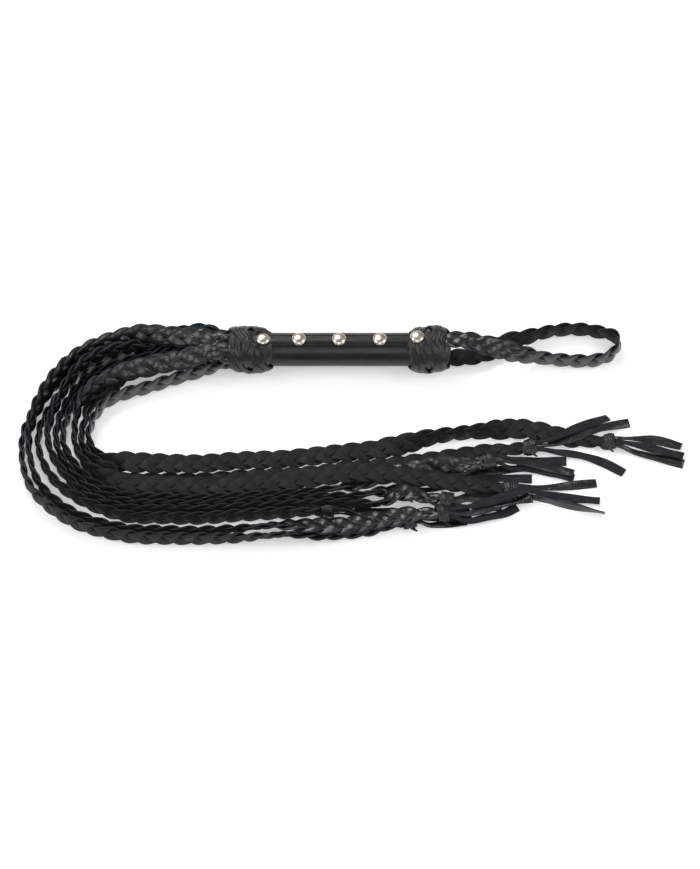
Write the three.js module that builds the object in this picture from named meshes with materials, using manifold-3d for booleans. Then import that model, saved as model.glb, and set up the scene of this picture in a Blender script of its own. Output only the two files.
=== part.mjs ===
// A braided leather whip: a short studded handle with a wrist loop at one end and nine tails at the other.
// Millimetres, +Z up. The handle lies along X and rests on z = 0, with the origin under its middle.
import * as THREE from "three";
import { mergeVertices } from "three/addons/utils/BufferGeometryUtils.js";
import Module from "manifold-3d";

const wasm = await Module();
wasm.setup();

// Handle
const KNOT_RADIUS = 17;
const KNOT_FLAT_DEPTH = 0.4; // the knots are pressed flat where the handle lies on them
const AXIS_Z = KNOT_RADIUS - KNOT_FLAT_DEPTH;
const COVER_RADIUS = 12.2;
const COVER_THICKNESS = 2.2;
const COVER_HALF_LENGTH = 66;
const LAP_RISE = 0.9; // the upper layer of the lap seam
const LAP_FROM_DEG = 74;
const LAP_TO_DEG = 110;
const LAP_EASE_DEG = 12; // over which the upper layer rises
const CORE_RADIUS = 9.6;
const CORE_HALF_LENGTH = 76;
const GAP = 0.3; // between pieces that touch
const TABLE_GAP = 0.3; // under what lies on the table

// Knots at the two ends
const KNOT_INNER_RADIUS = COVER_RADIUS + LAP_RISE + GAP;
const TAIL_KNOT = { from: -79.5, to: -48.5 };
const LOOP_KNOT = { from: 50.5, to: 79.5 };
const MOUTH_RADIUS = 15.5;
const MOUTH_DEPTH = 12;
const MOUTH_LIP = { thickness: 0.6, length: 1.5, rise: 0.5 };
const MOUTH_SHOULDER = 6;
const BACK_LIP = 1.2;
const BACK_ROUND = { length: 2.5, drop: 0.7 };
const BACK_SHOULDER = 7;

// Studs along the lap: x and the radius that the head sits on
const STUD_HEAD_RADIUS = 5.2;
const STUD_HEAD_HEIGHT = 2.5;
const STUD_RIM_HEIGHT = 0.4;
const STUD_POINT_LENGTH = 1;
const STUD_SHANK_RADIUS = 0.9;
const STUD_DEPTH_IN_CORE = 5;
const HOLE = { from: 2, to: KNOT_RADIUS + 4 }; // heights over the handle's axis, past both ends of a nail
const LOOP_STUD_SINK = 0.9; // the last head is pressed into the knot
const STUDS = [
  { x: -55, seat: COVER_RADIUS + LAP_RISE },
  { x: -29, seat: COVER_RADIUS + LAP_RISE },
  { x: 0, seat: COVER_RADIUS + LAP_RISE },
  { x: 29.5, seat: COVER_RADIUS + LAP_RISE },
  { x: 56.5, seat: KNOT_RADIUS - LOOP_STUD_SINK },
];

// Braids, their ties and the cut strips
const BRAID = { width: 14, thickness: 3.4 };
const EDGE_BEVEL = 0.9; // shares of half a strap's thickness
const EDGE_FLAT = 0.35;
const TAIL_STEPS = 34;
const LOOP_STEPS = 44;
const ROOT_X = -74;
const ROOT_STRAIGHT = 8;
const ROOT_RADIUS = 12;
const ROOT_WIDTH = 6.6;
const ROOT_HELD = 4; // stays narrow this far
const ROOT_TAPER = 45;
const TIED_WIDTH_SHARE = 0.66;
const TIE_TAPER = 30;
const TIE_LENGTH = 11;
const TIE_WALL = 1.4;
const TIE_CLEARANCE = 0.5;
const STRIP = { width: 6, thickness: 1.2 };
const STRIP_STEP = 8;
const STRIP_TAPER = 34;
const STRIP_ROOT_SHARE = 0.46;
const BINDING_INNER_RADIUS = 14.5;
const BINDING_OUTER_RADIUS = 15.1;
const BINDING_SET_BACK = 4;
const BINDING_WIDTH = 5;

const UP = new THREE.Vector3(0, 0, 1);

// The tails turn back in one bend about BEND_CENTRE, where degrees run from +Y round by -X to -Y.
const BEND_CENTRE = { x: -150, y: -72 };

// Every route point ends in lift and roll. Lift is the height of the strap's lower edge over TABLE_GAP,
// and roll is the angle in degrees from lying flat, with 90 on edge. Points off the bend are
// [x, y, lift, roll] and points in it are [degrees, radius, lift, roll]. root is where round the core the
// tail is bound in, in degrees from +Y towards +Z.
const TAILS = [
  {
    root: 355, rootRoll: 95,
    leaving: [[-95.5, 20.5, 3.6, 90], [-114, 21, 0, 90], [-131, 17.5, 0, 90]],
    bend: [
      [90, 82.5, 0, 90], [120, 75, 0, 90], [150, 72.5, 0, 90], [180, 77, 0, 90],
      [210, 80.5, 0, 90], [240, 79.5, 0, 90], [270, 81.5, 0, 90],
    ],
    trailing: [
      [-125, -155, 0, 90], [-100, -155.5, 0, 92], [-70, -155, 0, 100], [-40, -152, 0, 125],
      [-15, -148.5, 0, 165], [8, -145, 0, 178], [30, -141, 0, 180], [50, -138, 2.2, 180],
    ],
    strips: [
      [[64, -133.5, 1.3, 0], [78, -131.8, 0.3, 0], [93, -127.5, 0.2, 0]],
      [[64, -137, 3, 0], [78, -135, 2.3, 0], [94, -132, 2.2, 0]],
      [[64, -140.5, 1, 0], [78, -139, 0.3, 0], [91, -137.5, 0.2, 0]],
    ],
  },
  {
    root: 75, rootRoll: 195,
    leaving: [[-96, 4, 21.5, 165], [-114, 6, 17, 145], [-127, 8, 15.5, 138], [-140, 9.5, 15, 128]],
    bend: [
      [90, 80, 15, 124], [120, 72.5, 15.3, 118], [150, 68.5, 14.8, 114], [180, 72, 8, 98],
      [210, 74, 0.9, 90], [240, 73.5, 0.2, 90], [270, 76, 0, 90],
    ],
    trailing: [
      [-125, -149.5, 0, 90], [-100, -150, 0, 92], [-70, -148, 1, 105], [-40, -146, 4, 140],
      [-15, -146, 5.6, 168], [8, -144.5, 5, 178], [30, -140, 6.8, 180], [44, -138.5, 8.2, 180],
      [58, -137, 8.7, 180], [74, -135, 6.5, 180],
    ],
    strips: [
      [[90, -129, 6.5, 0], [107, -124, 6, 0], [124, -119, 8.8, 0], [137, -113, 7, 0]],
      [[90, -134, 5.5, 0], [107, -128, 4, 0], [124, -123, 5, 0], [138, -121, 6, 0]],
      [[90, -139, 3.5, 0], [104, -135, 2, 0], [118, -130.5, 0.6, 0], [127, -125, 0.4, 0]],
    ],
  },
  {
    root: 35, rootRoll: 55,
    leaving: [[-96, 14.7, 10.4, 85], [-114, 16, 1, 90], [-131, 12.5, 0, 90]],
    bend: [
      [90, 78, 0, 90], [120, 69.5, 0, 90], [150, 63.5, 0, 90], [180, 66, 0, 90],
      [210, 63.5, 0, 90], [240, 61, 0, 90], [270, 65, 0, 90],
    ],
    trailing: [
      [-125, -138, 0, 90], [-100, -138.5, 0, 90], [-70, -136, 0, 90], [-40, -134, 0, 90],
      [-8, -133, 0, 90],
    ],
    strips: [
      [[14, -132.5, 5.6, 0], [28, -132, 3.9, 0], [40, -131, 3.7, 0]],
      [[14, -132.5, 2.9, 0], [28, -131.3, 2.3, 0], [40, -130.8, 2, 0]],
      [[14, -132.5, 0.3, 0], [28, -131.3, 0.3, 0], [40, -130.8, 0.2, 0]],
    ],
  },
  {
    root: 315, rootRoll: 135,
    leaving: [[-96, 10, 2, 105], [-114, 11, 0.5, 92], [-127, 8, 0, 90], [-140, 1.8, 2, 91]],
    bend: [
      [90, 72, 11, 94], [120, 65.5, 15.3, 97], [150, 59, 10, 94], [180, 59, 1.2, 90],
      [210, 54.5, 0, 90], [240, 55.5, 0, 90], [270, 59.5, 0, 90],
    ],
    trailing: [
      [-125, -132, 0, 90], [-100, -132.5, 0, 90], [-70, -130.5, 0, 90], [-40, -128.5, 0, 90],
      [-8, -126.5, 0, 90], [8, -127, 0.2, 92], [22, -127.5, 0.6, 100], [32, -126, 2, 130],
      [42, -120.8, 8.4, 168], [52, -120.4, 9.4, 175], [63, -121, 4, 178], [77, -122.2, 2.6, 180],
    ],
    strips: [
      [[91, -116, 1.7, 0], [104, -115, 0.5, 0], [115, -115, 0.3, 0]],
      [[91, -120.5, 3.2, 0], [104, -121, 2.4, 0], [116, -121, 2.3, 0]],
      [[91, -125.5, 1.7, 0], [104, -125, 0.4, 0], [116, -125, 0.3, 0]],
    ],
  },
  {
    root: 275, rootRoll: -5,
    leaving: [[-96, 2, 0.5, 50], [-114, 6, 0, 88], [-127, 3.5, 0, 90], [-140, -2.5, 0, 90]],
    bend: [
      [90, 67.5, 0, 90], [120, 61.5, 0, 90], [150, 55, 0, 90], [180, 53, 0, 90],
      [210, 49.5, 0, 90], [240, 50.5, 0, 90], [270, 54.5, 0, 90],
    ],
    trailing: [
      [-125, -127.5, 0, 90], [-100, -128, 0, 90], [-70, -126, 0, 90], [-40, -124, 0, 90],
      [-8, -121.5, 0, 92], [12, -121, 0, 96], [23, -117, 0, 135], [34, -113.5, 0.6, 176],
      [48, -113, 2.2, 180],
    ],
    strips: [
      [[66, -104, 0.3, 0], [90, -98, 0.3, 0], [116, -94, 0.3, 0], [135, -92, 0.3, 0]],
      [[66, -110.5, 0.3, 0], [90, -104.5, 0.3, 0], [116, -101, 0.3, 0], [138, -101.5, 0.3, 0]],
      [[61, -116.5, 1, 0], [69, -117, 0.4, 0]],
    ],
  },
  {
    root: 235, rootRoll: 35,
    leaving: [[-96, -4.5, 0.8, 62], [-114, 0.5, 0, 88], [-127, -1.5, 0, 90], [-140, -7.5, 0, 90]],
    bend: [
      [90, 62.5, 0, 90], [120, 57, 0, 90], [150, 50, 0, 90], [180, 48, 0, 90],
      [210, 44.5, 0, 90], [240, 45.5, 0, 90], [270, 49.5, 0, 90],
    ],
    trailing: [
      [-125, -122.5, 0, 90], [-100, -123.5, 0, 90], [-70, -121.5, 0, 90], [-40, -119.5, 0, 92],
      [-15, -116.5, 0, 96], [-2, -113.5, 0, 122], [10, -109, 0, 160], [22, -104.5, 4.3, 178],
      [34, -101, 4, 180], [46, -98.5, 3.8, 180], [58, -96.8, 1.2, 202], [70, -96, 1, 236],
      [82, -95, 2, 222], [93, -93, 3.8, 190], [107, -90.5, 5.3, 182],
    ],
    strips: [
      [[122, -87.5, 5, 0], [138, -86.8, 1.8, 0], [163, -86.5, 0.3, 0]],
      [[122, -91, 7.2, 0], [139, -91, 4.4, 0], [154, -94, 2.2, 0], [168, -97.5, 2.2, 0]],
      [[122, -94.5, 4.6, 0], [138, -93.5, 2.3, 0], [153, -97, 0.3, 0], [168, -101, 0.3, 0]],
    ],
  },
  {
    root: 115, rootRoll: 155,
    leaving: [[-96, -10, 22, 150], [-114, -13.5, 16, 143], [-127, -15.5, 15, 140], [-140, -17.5, 12, 136]],
    bend: [
      [90, 52, 12, 132], [105, 49, 9.5, 124], [120, 47.5, 9.5, 115], [135, 46, 9.5, 106],
      [150, 43.5, 7.5, 97], [165, 41, 1.5, 92], [180, 40, 0, 90], [210, 37.5, 0, 88],
      [225, 37, 0, 82], [240, 37, 0.7, 62], [255, 37.5, 2.8, 35], [270, 38.5, 5, 15],
    ],
    trailing: [
      [-125, -111.5, 6, 4], [-100, -112.5, 6, 0], [-70, -111, 6, 0], [-40, -108.5, 6, 0],
      [-15, -106, 8.2, 0], [8, -103.2, 9, 0], [26, -103, 8.8, 0], [44, -104.5, 8.6, 0],
      [57, -106, 8.4, 0], [70, -107, 6.4, 0], [84, -108.5, 4.4, 0], [102, -110, 2.8, 0],
      [123, -112, 2.2, 0],
    ],
    strips: [
      [[142, -109.5, 1.5, 0], [158, -108, 0.4, 0], [184, -105, 0.3, 0]],
      [[142, -114.5, 2.5, 0], [158, -117, 0.5, 0], [186, -120, 0.3, 0]],
      [[139, -118.5, 1.2, 30], [151, -122, 0.3, 75], [189, -132, 0.3, 95]],
    ],
  },
  {
    root: 155, rootRoll: 115,
    leaving: [[-96, -9.5, 10.5, 100], [-114, -6.5, 1.5, 92], [-127, -8.5, 0, 90], [-140, -13, 0, 85]],
    bend: [
      [90, 55.5, 0, 72], [105, 49.5, 0, 14], [120, 46.5, 0, 5], [135, 41.5, 0, 40],
      [150, 37, 0, 82], [180, 35, 0, 90], [210, 32, 0, 85], [225, 31, 0, 75],
      [240, 31, 0, 42], [255, 34, 0, 5], [270, 33, 0, 0],
    ],
    trailing: [
      [-125, -105, 0, 0], [-100, -105, 0, 0], [-70, -102.5, 0, 0], [-40, -100.5, 0, 0],
      [-15, -98.5, 0, 0], [8, -94.5, 0, 0], [26, -93, 0, 0], [44, -90.5, 0, 0],
      [66, -87, 0, 0], [87, -83.5, 0, 0], [109, -80, 0.5, 0], [137, -76.5, 2.2, 0],
    ],
    strips: [
      [[153, -71.5, 7, 0], [166, -65, 7.5, 0], [180, -57, 4.5, 0], [194, -49, 0.3, 0]],
      [[154, -74.5, 4.8, 0], [171, -68, 5, 0], [188, -60, 3.5, 0], [209, -53.5, 0.3, 0]],
      [[156, -80, 2.8, 0], [174, -82, 0.8, 0], [189, -87.5, 0.5, 0], [204, -96.5, 0.3, 0]],
    ],
  },
  {
    root: 195, rootRoll: 75,
    leaving: [[-96, -15, 3.4, 85], [-114, -18.5, 0.5, 90], [-127, -23, 0, 90], [-140, -28, 0, 90]],
    bend: [
      [90, 41, 0, 90], [120, 36.5, 0, 90], [150, 31.5, 0, 90], [180, 29.5, 0, 90],
      [210, 27, 0, 84], [225, 25, 0, 75], [240, 23, 0.5, 60], [255, 20.5, 2.5, 40], [270, 20.5, 4.2, 22],
    ],
    trailing: [
      [-125, -92.5, 4.2, 8], [-100, -92, 4.2, 0], [-70, -88, 2, 0], [-40, -85.5, 0, 0],
      [-15, -82.5, 0, 0], [8, -79.5, 0, 0], [26, -78, 0, 5], [46, -75.5, 0, 38],
      [66, -70.5, 0, 74], [84, -67, 0, 86], [102, -65, 0, 76], [120, -62.5, 0, 36],
      [137, -60.5, 0, 5], [159, -66, 0, 0], [177, -70, 0, 0], [194, -72, 2.4, 0],
    ],
    strips: [
      [[212, -67.5, 1.3, 0], [228, -68.5, 0.4, 0], [246, -74, 0.3, 0]],
      [[212, -74, 3.4, 0], [229, -78, 2.4, 0], [247, -83.5, 2.2, 0]],
      [[212, -79, 1.3, 0], [229, -83.5, 0.4, 0], [247, -89, 0.3, 0]],
    ],
  },
];

// The wrist loop leaves the top of the knot's mouth, stands on edge and comes back in at the bottom.
const WRIST_LOOP = [
  [76.5, 0, 26.3, 0], [82, 0.5, 26, 0], [90, 1, 25, 0], [102, 0, 20, 10], [116, -1, 12.5, 35],
  [130, -1.5, 5, 65], [148, -2, 0.3, 90], [168, -4, 0, 90], [184, -4, 0, 90], [194, -1, 0, 90],
  [201, 5, 0, 90], [203, 12, 0, 90], [200, 18, 0, 90], [191, 21, 0, 90], [178, 23.5, 0, 90],
  [164, 23.5, 0, 90], [150, 21, 0, 90], [138, 17, 0, 100], [127, 13, 0.6, 120],
  [116, 9, 1.2, 150], [105, 4, 2.5, 172], [93, 1, 3, 180], [82, 0, 3, 180], [76.5, 0, 3, 180],
];
const LOOP_ROOT_WIDTH = 8;
const LOOP_ROOT_HELD = 3;
const LOOP_ROOT_TAPER = 20;

// How high the middle of a strap lies when its lower edge is TABLE_GAP over the table.
function restHeight(roll, { width, thickness }) {
  return TABLE_GAP + (width * Math.abs(Math.sin(roll)) + thickness * Math.abs(Math.cos(roll))) / 2;
}

// A strap's middle line with its roll along it, and shares of its full width and thickness.
class StrapCurve extends THREE.Curve {
  constructor(points, size, shares) {
    super();
    const lifted = points.map(([x, y, lift]) => new THREE.Vector3(x, y, lift));
    this.line = new THREE.CatmullRomCurve3(lifted, false, "centripetal");
    this.rolls = points.map(([, , , roll]) => THREE.MathUtils.degToRad(roll));
    this.size = size;
    this.shares = shares;
  }

  getPoint(t, target) {
    const point = this.line.getPoint(t, target);
    point.z += restHeight(this.rollAt(t), this.size);
    return point;
  }

  rollAt(t) {
    const place = t * (this.rolls.length - 1);
    const before = Math.min(Math.floor(place), this.rolls.length - 2);
    return THREE.MathUtils.lerp(this.rolls[before], this.rolls[before + 1], place - before);
  }

  // The strap's own axes at a share u of its length: along, across its width, and through its thickness.
  axesAt(u) {
    const t = this.getUtoTmapping(u);
    const along = this.getTangent(t);
    const inner = UP.clone().cross(along).normalize();
    const lift = along.clone().cross(inner);
    const roll = this.rollAt(t);
    const across = inner.multiplyScalar(Math.cos(roll)).addScaledVector(lift, Math.sin(roll));
    return { along, across, through: along.clone().cross(across) };
  }

  computeFrenetFrames(steps) {
    const frames = { tangents: [], normals: [], binormals: [] };
    const length = this.getLength();
    for (let i = 0; i <= steps; i++) {
      const { along, across, through } = this.axesAt(i / steps);
      const [width, thickness] = this.shares((length * i) / steps, length);
      frames.tangents.push(along);
      frames.normals.push(across.multiplyScalar(width));
      frames.binormals.push(through.multiplyScalar(thickness));
    }
    return frames;
  }
}

// A flat section with rounded edges, eight-sided.
function strapSection(width, thickness) {
  const w = width / 2;
  const h = thickness / 2;
  const corner = Math.min(h, w) * EDGE_BEVEL;
  return new THREE.Shape([
    new THREE.Vector2(w, -h * EDGE_FLAT),
    new THREE.Vector2(w, h * EDGE_FLAT),
    new THREE.Vector2(w - corner, h),
    new THREE.Vector2(corner - w, h),
    new THREE.Vector2(-w, h * EDGE_FLAT),
    new THREE.Vector2(-w, -h * EDGE_FLAT),
    new THREE.Vector2(corner - w, -h),
    new THREE.Vector2(w - corner, -h),
  ]);
}

function strap(curve, steps) {
  const section = strapSection(curve.size.width, curve.size.thickness);
  return new THREE.ExtrudeGeometry(section, { steps, extrudePath: curve });
}

const MERGE_DISTANCE = 1e-4;

const toSolid = (geometry) => {
  const bare = geometry.clone().deleteAttribute("normal").deleteAttribute("uv");
  const merged = mergeVertices(bare, MERGE_DISTANCE);
  const triVerts = new Uint32Array(merged.index.array);
  return new wasm.Manifold(
    new wasm.Mesh({ numProp: 3, vertProperties: merged.attributes.position.array, triVerts }),
  );
};

const toGeometry = (solid) => {
  const mesh = solid.getMesh();
  const positions = new THREE.BufferAttribute(mesh.vertProperties, 3);
  const index = new THREE.BufferAttribute(mesh.triVerts, 1);
  const geometry = new THREE.BufferGeometry().setAttribute("position", positions).setIndex(index);
  geometry.computeVertexNormals();
  return geometry;
};

const smoothLeather = new THREE.MeshStandardMaterial({ color: 0x0e0d0d, roughness: 0.38 });
const laceLeather = new THREE.MeshStandardMaterial({ color: 0x121110, roughness: 0.55 });
const braidLeather = new THREE.MeshStandardMaterial({ color: 0x151413, roughness: 0.6 });
const fleshLeather = new THREE.MeshStandardMaterial({ color: 0x1d1a18, roughness: 0.85 });
const nickel = new THREE.MeshStandardMaterial({ color: 0xd8d0c4, roughness: 0.2, metalness: 1 });
const wood = new THREE.MeshStandardMaterial({ color: 0xb08b5c, roughness: 0.7 });
const thread = new THREE.MeshStandardMaterial({ color: 0x2a2622, roughness: 0.8 });

const whip = new THREE.Group();
const handle = new THREE.Group();
handle.position.z = AXIS_Z;
whip.add(handle);

function addMesh(parent, name, geometry, material) {
  const mesh = new THREE.Mesh(geometry, material);
  mesh.name = name;
  parent.add(mesh);
  return mesh;
}

// A solid of revolution about the handle's axis, from a closed outline of [x, radius] points.
function turned(outline, segments = 36) {
  const profile = outline.map(([x, radius]) => new THREE.Vector2(radius, -x));
  profile.push(profile[0].clone());
  return new THREE.LatheGeometry(profile, segments).rotateZ(Math.PI / 2);
}

// An upright cylinder through the top of the handle, used for the nails' holes.
function upright(x, radius, from, to, segments = 16) {
  const cylinder = new THREE.CylinderGeometry(radius, radius, to - from, segments);
  return cylinder.rotateX(Math.PI / 2).translate(x, 0, (from + to) / 2);
}

function drillForStuds(solid, radius) {
  for (const { x } of STUDS) {
    solid = solid.subtract(toSolid(upright(x, radius, HOLE.from, HOLE.to)));
  }
  return solid;
}

function addCore() {
  const dowel = new THREE.CylinderGeometry(CORE_RADIUS, CORE_RADIUS, 2 * CORE_HALF_LENGTH, 32);
  const drilled = drillForStuds(toSolid(dowel.rotateZ(Math.PI / 2)), STUD_SHANK_RADIUS + GAP);
  addMesh(handle, "handle_core", toGeometry(drilled), wood);
}

// The wrapped cover: a sleeve whose outer layer rises over the lap and ends in a step along the seam.
function addCover() {
  const outline = [];
  const sides = 60;
  for (let i = 0; i < sides; i++) {
    const degrees = (360 * i) / sides;
    const onLap = degrees >= LAP_FROM_DEG && degrees <= LAP_TO_DEG;
    const easedIn = Math.min(1, (degrees - LAP_FROM_DEG) / LAP_EASE_DEG);
    const radius = COVER_RADIUS + (onLap ? LAP_RISE * easedIn : 0);
    const angle = THREE.MathUtils.degToRad(degrees);
    outline.push(new THREE.Vector2(radius * Math.cos(angle), radius * Math.sin(angle)));
  }
  const section = new THREE.Shape(outline);
  const bore = new THREE.Path().absarc(0, 0, COVER_RADIUS - COVER_THICKNESS, 0, 2 * Math.PI, true);
  section.holes.push(bore);
  const sleeve = new THREE.ExtrudeGeometry(section, {
    depth: 2 * COVER_HALF_LENGTH,
    bevelEnabled: false,
    curveSegments: 20,
  });
  sleeve.translate(0, 0, -COVER_HALF_LENGTH);
  sleeve.applyMatrix4(
    new THREE.Matrix4().makeBasis(
      new THREE.Vector3(0, 1, 0),
      new THREE.Vector3(0, 0, 1),
      new THREE.Vector3(1, 0, 0),
    ),
  );
  const drilled = drillForStuds(toSolid(sleeve), STUD_SHANK_RADIUS + GAP);
  addMesh(handle, "handle_cover", toGeometry(drilled), smoothLeather);
}

function addStuds() {
  STUDS.forEach(({ x, seat }, i) => {
    const base = seat + GAP;
    const foot = CORE_RADIUS - STUD_DEPTH_IN_CORE;
    const dome = STUD_HEAD_HEIGHT - STUD_RIM_HEIGHT;
    const profile = [new THREE.Vector2(0, foot - STUD_POINT_LENGTH)];
    profile.push(new THREE.Vector2(STUD_SHANK_RADIUS, foot));
    profile.push(new THREE.Vector2(STUD_SHANK_RADIUS, base));
    profile.push(new THREE.Vector2(STUD_HEAD_RADIUS, base));
    const domeSteps = 5;
    for (let k = 1; k <= domeSteps; k++) {
      const angle = (Math.PI / 2) * (k / domeSteps);
      const radius = k === domeSteps ? 0 : STUD_HEAD_RADIUS * Math.cos(angle);
      profile.push(new THREE.Vector2(radius, base + STUD_RIM_HEIGHT + dome * Math.sin(angle)));
    }
    const stud = new THREE.LatheGeometry(profile, 18).rotateX(Math.PI / 2).translate(x, 0, 0);
    addMesh(handle, `stud_${i + 1}`, stud, nickel);
  });
}

// A knot is a barrel-shaped ring, hollow at its mouth, pressed flat below, and cut away under the studs.
function knotSolid({ from, to }, mouthAtStart) {
  const mouth = mouthAtStart ? from : to;
  const inward = mouthAtStart ? 1 : -1;
  const back = mouthAtStart ? to : from;
  const outline = [
    [mouth, MOUTH_RADIUS],
    [mouth + inward * MOUTH_DEPTH, MOUTH_RADIUS],
    [mouth + inward * MOUTH_DEPTH, KNOT_INNER_RADIUS],
    [back, KNOT_INNER_RADIUS],
    [back, KNOT_INNER_RADIUS + BACK_LIP],
    [back - inward * BACK_ROUND.length, KNOT_RADIUS - BACK_ROUND.drop],
    [back - inward * BACK_SHOULDER, KNOT_RADIUS],
    [mouth + inward * MOUTH_SHOULDER, KNOT_RADIUS],
    [mouth + inward * MOUTH_LIP.length, MOUTH_RADIUS + MOUTH_LIP.thickness + MOUTH_LIP.rise],
    [mouth, MOUTH_RADIUS + MOUTH_LIP.thickness],
  ];
  if (!mouthAtStart) outline.reverse();
  const table = new THREE.BoxGeometry(200, 100, 20).translate(0, 0, -AXIS_Z - 10);
  let solid = toSolid(turned(outline)).subtract(toSolid(table));
  for (const { x, seat } of STUDS) {
    if (x < from || x > to) continue;
    solid = solid.subtract(toSolid(upright(x, STUD_HEAD_RADIUS + GAP, seat, HOLE.to, 24)));
    solid = solid.subtract(toSolid(upright(x, STUD_SHANK_RADIUS + GAP, HOLE.from, HOLE.to)));
  }
  return solid;
}

function addKnots() {
  addMesh(handle, "tail_end_knot", toGeometry(knotSolid(TAIL_KNOT, true)), laceLeather);
  addMesh(handle, "loop_end_knot", toGeometry(knotSolid(LOOP_KNOT, false)), laceLeather);
}

// Thread wound round the roots inside each knot.
function addBindings() {
  const windings = (from, to) => [
    [from, BINDING_INNER_RADIUS],
    [to, BINDING_INNER_RADIUS],
    [to, BINDING_OUTER_RADIUS],
    [from, BINDING_OUTER_RADIUS],
  ];
  const tailStart = TAIL_KNOT.from + BINDING_SET_BACK;
  const loopEnd = LOOP_KNOT.to - BINDING_SET_BACK;
  const tailBinding = turned(windings(tailStart, tailStart + BINDING_WIDTH));
  const loopBinding = turned(windings(loopEnd - BINDING_WIDTH, loopEnd));
  addMesh(handle, "tail_binding", tailBinding, thread);
  addMesh(handle, "loop_binding", loopBinding, thread);
}

// A tail's shares of the full braid: narrow where it is bound in and where it is tied.
function tailShares(distance, length) {
  const opened = THREE.MathUtils.smoothstep(distance, ROOT_HELD, ROOT_TAPER);
  const tied = THREE.MathUtils.smoothstep(distance, length - TIE_TAPER, length - TIE_TAPER / 2);
  const width = THREE.MathUtils.lerp(ROOT_WIDTH / BRAID.width, 1, opened);
  return [THREE.MathUtils.lerp(width, TIED_WIDTH_SHARE, tied), 1];
}

function stripShares(distance) {
  const opened = THREE.MathUtils.smoothstep(distance, TIE_LENGTH, STRIP_TAPER);
  return [THREE.MathUtils.lerp(STRIP_ROOT_SHARE, 1, opened), 1];
}

// A tie is a short sleeve round the end of the braid, open at both ends.
function tieGeometry(end, axes) {
  const innerWidth = BRAID.width * TIED_WIDTH_SHARE + 2 * TIE_CLEARANCE;
  const innerThickness = BRAID.thickness + 2 * TIE_CLEARANCE;
  const section = strapSection(innerWidth + 2 * TIE_WALL, innerThickness + 2 * TIE_WALL);
  section.holes.push(strapSection(innerWidth, innerThickness));
  const sleeve = new THREE.ExtrudeGeometry(section, { depth: TIE_LENGTH, bevelEnabled: false });
  sleeve.translate(0, 0, -TIE_LENGTH / 2);
  const placed = new THREE.Matrix4().makeBasis(axes.across, axes.through, axes.along);
  return sleeve.applyMatrix4(placed.setPosition(end));
}

// A point in the bend as a route point.
function bendPoint([degrees, radius, lift, roll]) {
  const angle = THREE.MathUtils.degToRad(degrees);
  const x = BEND_CENTRE.x + radius * Math.cos(angle);
  const y = BEND_CENTRE.y + radius * Math.sin(angle);
  return [x, y, lift, roll];
}

// A route point from a place in space, for a strap of this size.
function pointAt({ x, y, z }, roll, size) {
  return [x, y, z - restHeight(THREE.MathUtils.degToRad(roll), size), roll];
}

function tailCurve({ root, rootRoll, leaving, bend, trailing }) {
  const angle = THREE.MathUtils.degToRad(root);
  const y = ROOT_RADIUS * Math.cos(angle);
  const z = AXIS_Z + ROOT_RADIUS * Math.sin(angle);
  const bound = new THREE.Vector3(ROOT_X, y, z);
  const straightOut = bound.clone().add(new THREE.Vector3(-ROOT_STRAIGHT, 0, 0));
  const start = [bound, straightOut].map((place) => pointAt(place, rootRoll, BRAID));
  return new StrapCurve([...start, ...leaving, ...bend.map(bendPoint), ...trailing], BRAID, tailShares);
}

function addTail(tail, number) {
  const curve = tailCurve(tail);
  addMesh(whip, `tail_${number}`, strap(curve, TAIL_STEPS), braidLeather);

  const end = curve.getPointAt(1);
  const axes = curve.axesAt(1);
  addMesh(whip, `tail_${number}_tie`, tieGeometry(end, axes), laceLeather);

  // The strips lie side by side in the tie, the first on the +Y side or on top.
  const side = Math.sign(axes.across.y + axes.across.z);
  const endRoll = tail.trailing.at(-1)[3];
  const stripRoll = ((endRoll + 90) % 180) - 90;
  tail.strips.forEach((stripRoute, i) => {
    const offset = (1 - i) * side * (STRIP.width * STRIP_ROOT_SHARE + GAP);
    const start = end.clone().addScaledVector(axes.across, offset).addScaledVector(axes.along, GAP);
    const clear = start.clone().addScaledVector(axes.along, TIE_LENGTH / 2 + 1);
    const held = [start, clear].map((place) => pointAt(place, stripRoll, STRIP));
    const stripCurve = new StrapCurve([...held, ...stripRoute], STRIP, stripShares);
    const steps = Math.round(stripCurve.getLength() / STRIP_STEP);
    addMesh(whip, `tail_${number}_strip_${i + 1}`, strap(stripCurve, steps), fleshLeather);
  });
}

function addWristLoop() {
  const shares = (distance, length) => {
    const fromRoot = Math.min(distance, length - distance);
    const opened = THREE.MathUtils.smoothstep(fromRoot, LOOP_ROOT_HELD, LOOP_ROOT_TAPER);
    return [THREE.MathUtils.lerp(LOOP_ROOT_WIDTH / BRAID.width, 1, opened), 1];
  };
  const curve = new StrapCurve(WRIST_LOOP, BRAID, shares);
  addMesh(whip, "wrist_loop", strap(curve, LOOP_STEPS), braidLeather);
}

addCore();
addCover();
addStuds();
addKnots();
addBindings();
addWristLoop();
TAILS.forEach((tail, i) => addTail(tail, i + 1));

export default whip;
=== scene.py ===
"""A braided leather whip with nine tails, a studded handle and a wrist loop."""
import math

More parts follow.
